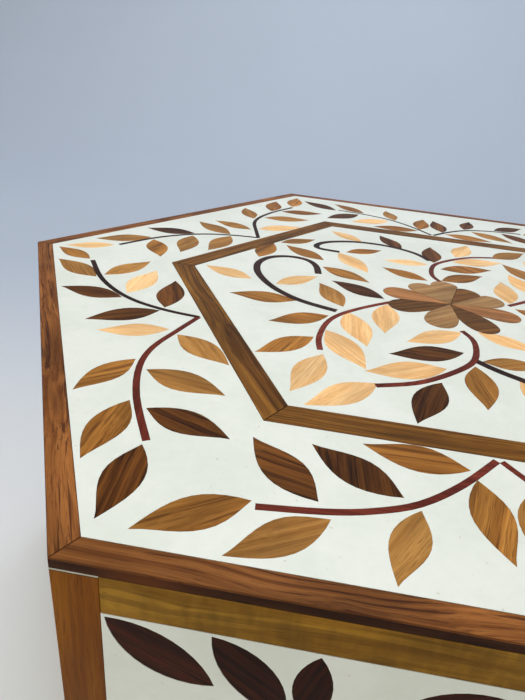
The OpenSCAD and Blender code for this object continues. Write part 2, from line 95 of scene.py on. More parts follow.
class Side(Enum):
    """Which skin of the box an inlay lies in."""

    TOP = "top"
    WALL = "wall"


class Blend(Enum):
    """How one colour is laid over another."""

    OVER = "MIX"
    MULTIPLY = "MULTIPLY"


def even(scale: float) -> Colour:
    """The same scale along all three axes."""
    return scale, scale, scale


def lengthwise(along: float, across: float) -> Colour:
    """A scale along the grain, and another one across it."""
    return along, across, across


@dataclass(frozen=True)
class Pattern:
    """A noise laid over a surface.

    Attributes:
        scale: features in each unit of length, along each axis.
        detail: octaves of finer noise.
        roughness: strength of the finer noise.
        distortion: how far the noise is folded into itself.
        edges: the levels that become 0 and 1, or None to leave the noise soft.
    """

    scale: Colour
    detail: float = 2.0
    roughness: float = 0.5
    distortion: float = 0.0
    edges: tuple[float, float] | None = None


class Value:
    """A number that varies over a surface. Operators on it add Math nodes."""

    def __init__(self, shader: "Shader", socket: bpy.types.NodeSocket) -> None:
        """Wrap an output socket of a shader's node."""
        self.shader = shader
        self.socket = socket

    def _math(self, operation: str, first: "Value | float", second: "Value | float") -> "Value":
        """Add one Math node on two operands."""
        return self.shader.node("ShaderNodeMath", {"operation": operation}, {0: first, 1: second})

    def __add__(self, other: "Value | float") -> "Value":
        """Sum."""
        return self._math("ADD", self, other)

    def __sub__(self, other: "Value | float") -> "Value":
        """Difference."""
        return self._math("SUBTRACT", self, other)

    def __rsub__(self, other: float) -> "Value":
        """Difference from a plain number."""
        return self._math("SUBTRACT", other, self)

    def __mul__(self, other: "Value | float") -> "Value":
        """Product."""
        return self._math("MULTIPLY", self, other)

    def ramp(self, low: float, high: float) -> "Value":
        """Rise smoothly from 0 at low to 1 at high."""
        return self.shader.node(
            "ShaderNodeMapRange", {"interpolation_type": "SMOOTHSTEP"},
            {"Value": self, "From Min": low, "From Max": high})


class Shader:
    """A node material that is being put together."""

    def __init__(self, name: str) -> None:
        """Start an empty Principled material."""
        self.material = bpy.data.materials.new(name)
        self.material.use_nodes = True
        self.tree = self.material.node_tree
        self.surface = self.tree.nodes["Principled BSDF"]

    def put(self, socket: bpy.types.NodeSocket, value: object) -> None:
        """Set or link an input socket.

        Args:
            socket: the input.
            value: a Value, a socket, or what its default value takes.
        """
        if isinstance(value, Value):
            value = value.socket
        if isinstance(value, bpy.types.NodeSocket):
            self.tree.links.new(value, socket)
        else:
            socket.default_value = value

    def node(self, kind: str, settings: dict | None = None, inputs: dict | None = None,
             output: int | str = 0) -> Value:
        """Add a node.

        Args:
            kind: the node's type.
            settings: its own properties, set before its sockets.
            inputs: values or links, by socket name or index.
            output: which output to return.

        Returns:
            The chosen output.
        """
        made = self.tree.nodes.new(kind)
        for key, value in (settings or {}).items():
            setattr(made, key, value)
        for key, value in (inputs or {}).items():
            self.put(made.inputs[key], value)
        return Value(self, made.outputs[output])

    def attribute(self, name: str, output: str = "Vector") -> Value:
        """Read an attribute of the piece."""
        return self.node("ShaderNodeAttribute", {"attribute_name": name}, output=output)

    def here(self) -> Value:
        """Object coordinates, in metres."""
        return self.node("ShaderNodeTexCoord", output="Object")

    def part(self, vector: Value, axis: str) -> Value:
        """Take one coordinate, X, Y or Z, of a vector."""
        return self.node("ShaderNodeSeparateXYZ", {}, {0: vector}, axis)

    def stretch(self, vector: Value, scale: Colour) -> Value:
        """Multiply a vector by three numbers."""
        return self.node("ShaderNodeVectorMath", {"operation": "MULTIPLY"}, {0: vector, 1: scale})

    def shift(self, vector: Value, other: Value) -> Value:
        """Add two vectors."""
        return self.node("ShaderNodeVectorMath", {"operation": "ADD"}, {0: vector, 1: other})

    def noise(self, vector: Value, pattern: Pattern, output: str = "Fac") -> Value:
        """Lay a pattern over a surface.

        Args:
            vector: where each point of the surface lies in the noise.
            pattern: the noise.
            output: "Fac" for one number or "Color" for three.

        Returns:
            The noise, sharpened if the pattern has edges.
        """
        made = self.node("ShaderNodeTexNoise", {}, {
            "Vector": self.stretch(vector, pattern.scale), "Scale": 1.0, "Detail": pattern.detail,
            "Roughness": pattern.roughness, "Distortion": pattern.distortion}, output)
        return made.ramp(*pattern.edges) if pattern.edges else made

    def mix(self, factor: "Value | float", first: "Value | Colour", second: "Value | Colour",
            blend: Blend = Blend.OVER) -> Value:
        """Mix two colours.

        Args:
            factor: share of the second colour.
            first: the colour under it.
            second: the colour laid over it.
            blend: how it is laid.

        Returns:
            The mixed colour.
        """
        made = self.tree.nodes.new("ShaderNodeMix")
        made.data_type = "RGBA"
        made.blend_type = blend.value
        colours = {socket.name: socket for socket in made.inputs if socket.type == "RGBA"}
        self.put(made.inputs["Factor"], factor)
        for name, colour in (("A", first), ("B", second)):
            self.put(colours[name], colour if isinstance(colour, Value) else (*colour, 1.0))
        return Value(self, [socket for socket in made.outputs if socket.type == "RGBA"][0])

    def vary(self, colour: Value, pattern: Value, swing: float, mean: float = 1.0) -> Value:
        """Brighten and darken a colour.

        Args:
            colour: the colour.
            pattern: a number from 0, where it is darkest, to 1.
            swing: how much its brightness changes between the two.
            mean: its brightness half way, as a share.

        Returns:
            The varied colour.
        """
        level = pattern * swing + (mean - swing / 2)
        grey = self.node("ShaderNodeCombineColor", {}, {0: level, 1: level, 2: level})
        return self.mix(1.0, colour, grey, Blend.MULTIPLY)

    def bump(self, height: Value, depth: float, strength: float) -> None:
        """Raise the surface by a height from 0 to 1.

        Args:
            height: the height.
            depth: what 1 stands for, in metres.
            strength: share of the effect.
        """
        self.put(self.surface.inputs["Normal"], self.node(
            "ShaderNodeBump", {}, {"Height": height, "Distance": depth, "Strength": strength}, "Normal"))

    def finish(self, **sockets: object) -> bpy.types.Material:
        """Set the Principled sockets, an underscore standing for a space, and return the material."""
        for key, value in sockets.items():
            self.put(self.surface.inputs[key.replace("_", " ")], value)
        return self.material


@dataclass(frozen=True)
class Wood:
    """A hardwood, cut into pieces that each carry a grain attribute in millimetres and a tone from 0 to 1.

    Attributes:
        name: the material slot.
        light: colour of the figure's pale parts.
        dark: colour of its dark parts.
        streak: colour of its dark lines and of the pores.
        streaks: how strong the dark lines are.
        band: figures in each millimetre across the grain.
        sway: how far the grain wanders, in millimetres.
        low: what multiplies the colour of the darkest piece.
        high: what multiplies the colour of the palest piece.
        fibres: contrast of the fine fibres.
        shade: contrast of broad patches.
        mottle: contrast of ripples across the grain.
        roughness: roughness of the waxed face.
        coat: strength of the wax.
        shaded_side: whether the wood gets painted shade below the top face, on its side face.
        glue: colour of the glue line round a piece.
        side_shade: colour of that painted shade.
        side_shade_pale: colour of the painted shade in its paler patches.
    """

    name: str
    light: Colour
    dark: Colour
    streak: Colour
    streaks: float = 0.5
    band: float = 0.6
    sway: float = 5.0
    low: Colour = (0.8, 0.76, 0.72)
    high: Colour = (1.12, 1.12, 1.1)
    fibres: float = 0.62
    shade: float = 0.28
    mottle: float = 0.0
    roughness: float = 0.42
    coat: float = 0.02
    shaded_side: bool = False
    glue: Colour = srgb(50, 32, 20)
    side_shade: Colour = srgb(26, 5, 3)
    side_shade_pale: Colour = srgb(92, 44, 12)

    WANDER: ClassVar[Pattern] = Pattern(lengthwise(0.022, 0.05), 1.5)
    PATCH: ClassVar[Pattern] = Pattern(lengthwise(0.024, 0.07), 2.0, 0.55, edges=(0.32, 0.68))
    RIPPLE: ClassVar[Pattern] = Pattern(lengthwise(0.2, 0.06), 3.0, 0.6, edges=(0.35, 0.65))
    FIBRE: ClassVar[Pattern] = Pattern(lengthwise(0.09, 4.6), 2.0, 0.6)
    PORE: ClassVar[Pattern] = Pattern(lengthwise(0.16, 5.2), 1.0, 0.4, edges=(0.6, 0.72))
    # Noise and patches of the painted shade on the frame strips' side faces.
    SHADE_NOISE: ClassVar[Pattern] = Pattern((30.0, 30.0, 300.0), 3.0, 0.6)
    SHADE_PATCHES: ClassVar[Pattern] = Pattern(even(17.0), 3.0, 0.55, edges=(0.47, 0.62))
    LINES_PER_FIGURE: ClassVar[float] = 2.21
    PORE_STRENGTH: ClassVar[float] = 0.55
    GLUE_STRENGTH: ClassVar[float] = 0.8
    RELIEF: ClassVar[float] = 0.00006

    def material(self) -> bpy.types.Material:
        """Build the wood's shades, figure, streaks, fibres, pores and the glue line round each piece."""
        s = Shader(self.name)
        straight = s.attribute("grain")
        wander = s.noise(straight, self.WANDER, "Color")
        grain = s.shift(straight, s.stretch(wander, lengthwise(0.0, self.sway)))
        figure = s.noise(grain, Pattern(lengthwise(0.012, self.band), 4.0, 0.62, 0.3, (0.34, 0.66)))
        lines = s.noise(grain, Pattern(lengthwise(0.0117, self.band * self.LINES_PER_FIGURE), 2.0, 0.55,
                                       edges=(0.53, 0.66)))
        fibre = s.noise(grain, self.FIBRE)
        pore = s.noise(grain, self.PORE)
        body = s.mix(figure, self.dark, self.light)
        body = s.mix(lines * self.streaks, body, self.streak)
        body = s.vary(body, s.noise(grain, self.PATCH), self.shade * 1.6, 1 - self.shade * 0.2)
        body = s.vary(body, fibre, self.fibres, 1.01)
        if self.mottle:
            body = s.vary(body, s.noise(straight, self.RIPPLE), self.mottle)
        tone = s.mix(s.attribute("tone", "Fac"), self.low, self.high)
        body = s.mix(1.0, body, tone, Blend.MULTIPLY)
        body = s.mix(pore * self.PORE_STRENGTH, body, self.streak)
        body = s.mix(s.attribute("rim", "Fac") * self.GLUE_STRENGTH, body, self.glue)
        # Painted shade on the side face below the top, for the frame strips.
        if self.shaded_side:
            body = self._paint_side_shade(s, body)
        s.bump(fibre * 0.6 - pore * 0.8, self.RELIEF, strength=0.4)
        return s.finish(Base_Color=body, Roughness=fibre * 0.16 + pore * 0.1 + (self.roughness - 0.08),
                        Specular_IOR_Level=0.07, Specular_Tint=(1.0, 0.84, 0.64, 1.0), Coat_Weight=self.coat,
                        Coat_Roughness=0.2)

    def _paint_side_shade(self, s: Shader, body: Value) -> Value:
        """Darken the wood below the top face with painted shade, on the side face of the strip.

        Args:
            s: the wood's shader.
            body: its colour.

        Returns:
            The stained colour.
        """
        here = s.here()
        shade_noise = s.noise(here, self.SHADE_NOISE)
        # Painted shade: it starts just under the top face, with a noisy edge and strength, in two dark
        # colours.
        below = (CAD_BOX[1].z - s.part(here, "Z")) * MM + shade_noise * 0.3
        side_shade = s.mix(s.noise(here, self.SHADE_PATCHES), self.side_shade, self.side_shade_pale)
        return s.mix(below.ramp(0.25, 0.6) * (shade_noise * 0.3 + 0.75), body, side_shade)


@dataclass(frozen=True)
class Resin:
    """Cream resin, poured round the woods, sanded flush and waxed.

    Attributes:
        name: the material slot.
        colour: its colour.
        cloud: its colour in faint clouds.
        speck: colour of single specks.
        joint: colour of the dirt in the joint under the frame.
        joint_depth: how far below the top the joint starts, in millimetres.
        joint_height: how high the joint is, in millimetres.
    """

    name: str = "resin"
    colour: Colour = srgb(230, 234, 227)
    cloud: Colour = srgb(223, 228, 219)
    speck: Colour = srgb(168, 160, 138)
    joint: Colour = srgb(150, 138, 116)
    joint_depth: float = 2.3
    joint_height: float = 0.5

    CLOUD: ClassVar[Pattern] = Pattern(even(55.0), 3.0, 0.55)
    FINE: ClassVar[Pattern] = Pattern(even(420.0), 2.0, 0.6)
    SPECK: ClassVar[Pattern] = Pattern(even(900.0), 1.0, 0.3, edges=(0.735, 0.79))
    SPECK_STRENGTH: ClassVar[float] = 0.3
    RELIEF: ClassVar[float] = 0.00012

    def material(self) -> bpy.types.Material:
        """Build the resin's clouds, specks, faint sanding waves and the dirty joint under the frame."""
        s = Shader(self.name)
        here = s.here()
        cloud = s.noise(here, self.CLOUD)
        fine = s.noise(here, self.FINE)
        colour = s.mix(cloud.ramp(0.38, 0.66), self.colour, self.cloud)
        colour = s.vary(colour, fine, 0.08, 0.99)
        colour = s.mix(s.noise(here, self.SPECK) * self.SPECK_STRENGTH, colour, self.speck)
        below = (CAD_BOX[1].z - s.part(here, "Z")) * MM - self.joint_depth
        dirty = below.ramp(-0.05, 0.0) - below.ramp(self.joint_height, self.joint_height + 0.1)
        colour = s.mix(dirty * (fine * 0.6 + 0.4), colour, self.joint)
        s.bump(cloud * 0.7 + fine * 0.08, self.RELIEF, strength=0.35)
        return s.finish(Base_Color=colour, Roughness=fine * 0.12 + 0.34, Specular_IOR_Level=0.3,
                        Coat_Weight=0.18, Coat_Roughness=0.18)


@dataclass(frozen=True)
class Cloth:
    """Short pile, such as velvet or felt.

    Attributes:
        name: the material slot.
        colour: its colour.
        light: its colour where the pile is brushed the other way.
        sheen: strength of its sheen.
        pile: hairs in each metre.
    """

    name: str
    colour: Colour
    light: Colour
    sheen: float
    pile: float

    BRUSHED: ClassVar[Pattern] = Pattern(even(60.0), 3.0, 0.5, 0.2, (0.3, 0.72))
    RELIEF: ClassVar[float] = 0.0005

    def material(self) -> bpy.types.Material:
        """Build brushed patches and single hairs."""
        s = Shader(self.name)
        here = s.here()
        hair = s.noise(here, Pattern(even(self.pile), 2.0, 0.7))
        colour = s.mix(s.noise(here, self.BRUSHED), self.colour, self.light)
        colour = s.vary(colour, hair, 0.8, 0.95)
        s.bump(hair, self.RELIEF, strength=0.6)
        return s.finish(Base_Color=colour, Roughness=hair * 0.1 + 0.85, Sheen_Weight=self.sheen,
                        Sheen_Roughness=0.4)


@dataclass(frozen=True)
class Brass:
    """Brushed brass with darker, duller patches.

    Attributes:
        name: the material slot.
        colour: its colour.
        dull: its colour where it is tarnished.
    """

    name: str
    colour: Colour = srgb(206, 168, 96)
    dull: Colour = srgb(140, 104, 52)

    BRUSH: ClassVar[Pattern] = Pattern(lengthwise(60.0, 2600.0), 2.0, 0.6)
    TARNISH: ClassVar[Pattern] = Pattern(even(170.0), 4.0, 0.6)
    RELIEF: ClassVar[float] = 0.00002

    def material(self) -> bpy.types.Material:
        """Build brush lines along X and tarnish."""
        s = Shader(self.name)
        here = s.here()
        brush = s.noise(here, self.BRUSH)
        tarnish = s.noise(here, self.TARNISH)
        colour = s.mix(tarnish.ramp(0.42, 0.7), self.colour, self.dull)
        s.bump(brush, self.RELIEF, strength=0.5)
        return s.finish(Base_Color=colour, Metallic=1.0, Roughness=tarnish * 0.25 + brush * 0.12 + 0.14)


class Finishes:
    """Every finish of the box by the record's material slot."""

    WOODS = (
        # The frame strips get painted shade on their side faces below the top.
        Wood("frame_wood", srgb(150, 96, 50), srgb(106, 61, 29), srgb(60, 29, 20), streaks=0.8, band=0.5,
             sway=10.0, shade=0.36, glue=srgb(84, 50, 28), shaded_side=True),
        Wood("band_wood", srgb(136, 92, 36), srgb(94, 57, 18), srgb(48, 28, 9), streaks=0.75, sway=4.0),
        Wood("stile_wood", srgb(142, 86, 12), srgb(114, 62, 4), srgb(84, 44, 5), streaks=0.25, band=0.3,
             sway=3.0, fibres=0.3, shade=0.12),
        Wood("rail_wood", srgb(168, 126, 42), srgb(136, 96, 26), srgb(92, 60, 16), streaks=0.4, band=0.3,
             sway=8.0, fibres=0.34, shade=0.2, mottle=0.34),
        Wood("leaf_dark", srgb(116, 71, 29), srgb(70, 38, 13), srgb(32, 15, 6), streaks=0.8, band=0.55,
             low=(0.66, 0.6, 0.54), high=(1.2, 1.18, 1.1), shade=0.4),
        Wood("leaf_brown", srgb(180, 124, 58), srgb(142, 92, 38), srgb(84, 44, 18), streaks=0.6, band=0.5,
             low=(0.8, 0.74, 0.68), high=(1.18, 1.2, 1.2), shade=0.34),
        Wood("leaf_tan", srgb(178, 130, 70), srgb(150, 104, 50), srgb(108, 70, 32), streaks=0.45, band=0.5,
             low=(0.84, 0.8, 0.74), high=(1.14, 1.14, 1.14)),
        Wood("leaf_pale", srgb(250, 212, 160), srgb(236, 188, 130), srgb(196, 138, 82), streaks=0.3,
             band=0.4, low=(0.94, 0.86, 0.76), high=(1.08, 1.12, 1.14), shade=0.16),
        Wood("vine_dark", srgb(62, 36, 32), srgb(42, 24, 22), srgb(22, 12, 11), band=0.9),
        Wood("vine_red", srgb(126, 54, 40), srgb(98, 38, 28), srgb(56, 20, 15), band=0.9),
        Wood("petal_dark", srgb(132, 90, 44), srgb(94, 60, 27), srgb(44, 24, 9), streaks=0.6, band=0.5),
        Wood("petal_brown", srgb(180, 126, 80), srgb(152, 102, 60), srgb(114, 70, 38), streaks=0.4,
             band=0.45),
        Wood("petal_tan", srgb(194, 156, 108), srgb(168, 128, 84), srgb(130, 92, 56), streaks=0.4,
             band=0.45),
        Wood("side_leaf_wood", srgb(82, 34, 14), srgb(44, 13, 5), srgb(18, 4, 1), streaks=0.7, band=0.5,
             low=(0.6, 0.52, 0.48), shade=0.4),
        Wood("side_vine_wood", srgb(92, 38, 28), srgb(62, 26, 18), srgb(30, 14, 11), band=0.9),
        Wood("core_wood", srgb(206, 170, 118), srgb(178, 138, 88), srgb(142, 104, 62), streaks=0.4, band=0.22,
             roughness=0.6, coat=0.0),
    )
    OTHERS = (
        Resin(),
        Cloth("lining", srgb(98, 14, 24), srgb(122, 22, 33), sheen=0.6, pile=2600.0),
        Cloth("felt", srgb(34, 52, 40), srgb(48, 70, 54), sheen=0.2, pile=1800.0),
        Brass("hinge_brass"),
        Brass("screw_brass", srgb(196, 156, 84), srgb(120, 88, 44)),
    )

    def __init__(self) -> None:
        """Build each finish once and note which slot each node has."""
        self.by_slot = {finish.name: finish.material() for finish in (*self.WOODS, *self.OTHERS)}
        self.slots = {row["node"]: row["material_slot"] for row in frame["record"]["subparts"]}

    def dress(self, piece: bpy.types.Object, node: str) -> str:
        """Give a piece or a CAD node the finish of its node's slot.

        Args:
            piece: the object to paint.
            node: the CAD node whose slot it takes.

        Returns:
            The slot's name.
        """
        slot = self.slots[node]
        piece.data.materials.clear()
        piece.data.materials.append(self.by_slot[slot])
        return slot


@cache
def top_half_flats() -> float:
    """Half the width across the flats, from the frame strip of the back."""
    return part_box("frame_strip_4")[1].y


def numbered(stem: str) -> list[str]:
    """Names of six nodes numbered from 1."""
    return [f"{stem}_{k}" for k in range(1, FACES + 1)]


def deselect() -> None:
    """Leave nothing selected, in object mode."""
    if bpy.context.object and bpy.context.object.mode != "OBJECT":
        bpy.ops.object.mode_set(mode="OBJECT")
    bpy.ops.object.select_all(action="DESELECT")


def pick(piece: bpy.types.Object) -> None:
    """Select one piece and make it active."""
    deselect()
    piece.select_set(True)
    bpy.context.view_layer.objects.active = piece


def islands(mesh: bpy.types.Mesh) -> list[np.ndarray]:
    """Find the separate solids of a mesh.

    Args:
        mesh: the mesh, with doubles merged.

    Returns:
        The vertex numbers of each solid, in the order of their first vertices.
    """
    parent = list(range(len(mesh.vertices)))

    def root(v: int) -> int:
        """Follow a vertex to its solid's first one."""
        while parent[v] != v:
            parent[v] = parent[parent[v]]
            v = parent[v]
        return v
    for edge in mesh.edges:
        a, b = (root(v) for v in edge.vertices)
        parent[max(a, b)] = min(a, b)
    groups: dict[int, list[int]] = {}
    for v in range(len(parent)):
        groups.setdefault(root(v), []).append(v)
    return [np.array(group) for group in groups.values()]


def copy_node(node: str, suffix: str, whole_faces: bool) -> bpy.types.Object:
    """Copy a CAD node as a merged mesh with plain normals, ready for work.

    Args:
        node: the CAD node.
        suffix: what the piece's name ends in.
        whole_faces: whether flat faces lose the edges inside them.

    Returns:
        The new piece, not yet dressed.
    """
    piece = bpy.data.objects.new(f"{node}_{suffix}", frame["nodes"][node].data.copy())
    bpy.context.scene.collection.objects.link(piece)
    pick(piece)
    bpy.ops.mesh.customdata_custom_splitnormals_clear()
    bpy.ops.object.mode_set(mode="EDIT")
    bpy.ops.mesh.select_all(action="SELECT")
    bpy.ops.mesh.remove_doubles(threshold=SAME_POINT)
    if whole_faces:
        bpy.ops.mesh.dissolve_limited(angle_limit=SAME_PLANE)
    bpy.ops.mesh.normals_make_consistent(inside=False)
    bpy.ops.object.mode_set(mode="OBJECT")
    bpy.ops.object.shade_flat()
    return piece


def settle(piece: bpy.types.Object, node: str, body: str, finishes: Finishes) -> bpy.types.Object:
    """Let a finished piece stand for a CAD node on its body.

    Args:
        piece: the finished piece.
        node: the CAD node.
        body: the body that it rides on.
        finishes: where its finish comes from.

    Returns:
        The piece.
    """
    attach(piece, body)
    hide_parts(node)
    finishes.dress(piece, node)
    LOG.info("%s: %d faces", piece.name, len(piece.data.polygons))
    return piece


@dataclass
class WoodWork:
    """Pieces of wood cut from CAD nodes: edges eased, and each piece with its own grain and tone.

    Attributes:
        finishes: where the woods come from.
        ease: width of the eased edges, in metres.
        near: how close to the box's outside a face lies flush with it, in metres.
        level: how far a flush top face looks up, from 0 to 1.
        upright: how far a flush side face may look up or down.
        slopes: how far an eased edge looks up or down, at least and at most.
        turn: spread of the angle between a leaf and its grain, in radians.
        cross: share of leaves that were cut across the grain.
        cross_turn: how far those are turned, at least and at most, in radians.
        log: size of the log that the pieces come from, in millimetres.
        seed: start of the random draws.
    """

    finishes: Finishes
    ease: float = 0.00016
    near: float = 0.00002
    level: float = 0.9
    upright: float = 0.1
    slopes: tuple[float, float] = (0.2, 0.95)
    turn: float = 0.22
    cross: float = 0.12
    cross_turn: tuple[float, float] = (0.5, 1.2)
    log: float = 900.0
    seed: int = 7

    def flush(self, face: bpy.types.MeshPolygon, side: Side) -> bool:
        """Tell whether a face lies in the box's outer surface.

        Args:
            face: the face.
            side: the skin that it would lie in.

        Returns:
            Whether it does.
        """
        n, c = face.normal, face.center
        if side is Side.TOP:
            return c.z > CAD_BOX[1].z - self.near and n.z > self.level
        return abs(n.z) < self.upright and n.x * c.x + n.y * c.y > top_half_flats() - self.near

    def ease_edges(self, piece: bpy.types.Object, side: Side) -> None:
        """Bevel the edges round the outer faces, and mark the bevels as the rim.

        Args:
            piece: the wood.
            side: the skin that it lies in.
        """
        mesh = piece.data
        outer = {key for face in mesh.polygons if self.flush(face, side) for key in face.edge_keys}
        for part in (mesh.vertices, mesh.edges, mesh.polygons):
            part.foreach_set("select", [False] * len(part))
        for edge in mesh.edges:
            edge.select = edge.key in outer
        bpy.ops.object.mode_set(mode="EDIT")
        bpy.ops.mesh.select_mode(type="EDGE")
        bpy.ops.mesh.bevel(offset=self.ease, segments=1, clamp_overlap=True)
        bpy.ops.object.mode_set(mode="OBJECT")
        for vertex in mesh.vertices:
            vertex.co.z = min(vertex.co.z, CAD_BOX[1].z)
        rim = mesh.attributes.new("rim", "FLOAT", "FACE").data
        least, most = self.slopes
        for face in mesh.polygons:
            rim[face.index].value = float(least < abs(face.normal.z) < most)

    def cut(self, points: np.ndarray, loose: bool) -> tuple[np.ndarray, float]:
        """Choose where in its log a solid was cut.

        Args:
            points: the solid's vertices, in millimetres.
            loose: whether it was cut at its own angle to the grain, as leaves are.

        Returns:
            The vertices in the log, whose grain runs along its first axis, and the solid's tone.
        """
        centre = points.mean(0)
        draw = random.Random(f"{self.seed} {centre[0]:.1f} {centre[1]:.1f} {centre[2]:.1f}")
        axes = np.linalg.svd(points - centre, full_matrices=False)[2]
        angle = 0.0
        if loose:
            angle = draw.gauss(0, self.turn)
            if draw.random() < self.cross:
                angle += draw.choice((-1, 1)) * draw.uniform(*self.cross_turn)
        c, s = math.cos(angle), math.sin(angle)
        turned = np.array([c * axes[0] + s * axes[1], c * axes[1] - s * axes[0], axes[2]])
        place = np.array([draw.uniform(0, self.log) for _ in range(3)])
        return (points - centre) @ turned.T + place, draw.random()

    def lay_grain(self, piece: bpy.types.Object, loose: bool) -> None:
        """Give each solid its own grain coordinates and tone.

        Args:
            piece: the wood.
            loose: whether each solid was cut at its own angle to the grain.
        """
        mesh = piece.data
        points = np.empty(len(mesh.vertices) * 3)
        mesh.vertices.foreach_get("co", points)
        points = points.reshape(-1, 3) * MM
        grain = np.zeros_like(points)
        tone = np.zeros(len(points))
        for solid in islands(mesh):
            grain[solid], tone[solid] = self.cut(points[solid], loose)
        mesh.attributes.new("grain", "FLOAT_VECTOR", "POINT").data.foreach_set(
            "vector", grain.astype(np.float32).ravel())
        mesh.attributes.new("tone", "FLOAT", "POINT").data.foreach_set("value", tone.astype(np.float32))

    def make(self, node: str, body: str, side: Side | None, loose: bool) -> bpy.types.Object:
        """Make the wooden pieces that stand for a CAD node.

        Args:
            node: the CAD node.
            body: the body it rides on.
            side: the skin whose face shows, or None for a piece with no eased edges.
            loose: whether each solid has its own cut.

        Returns:
            The finished piece.
        """
        piece = copy_node(node, "wood", True)
        if side is not None:
            self.ease_edges(piece, side)
        self.lay_grain(piece, loose)
        return settle(piece, node, body, self.finishes)


@dataclass
class MetalWork:
    """Hinge parts with their sharp edges broken.

    Attributes:
        finishes: where the brass comes from.
        ease: width of the broken edges, in metres.
        sharp: the angle above which an edge is sharp.
    """

    finishes: Finishes
    ease: float = 0.00014
    sharp: float = math.radians(35)

    def make(self, node: str, body: str) -> bpy.types.Object:
        """Make the metal piece that stands for a CAD node.

        Args:
            node: the CAD node.
            body: the body it rides on.

        Returns:
            The finished piece.
        """
        piece = copy_node(node, "metal", True)
        bpy.ops.object.mode_set(mode="EDIT")
        bpy.ops.mesh.select_mode(type="EDGE")
        bpy.ops.mesh.select_all(action="DESELECT")
        bpy.ops.mesh.edges_select_sharp(sharpness=self.sharp)
        bpy.ops.mesh.bevel(offset=self.ease, segments=1, clamp_overlap=True)
        bpy.ops.object.mode_set(mode="OBJECT")
        bpy.ops.object.shade_smooth_by_angle(angle=self.sharp)
        return settle(piece, node, body, self.finishes)


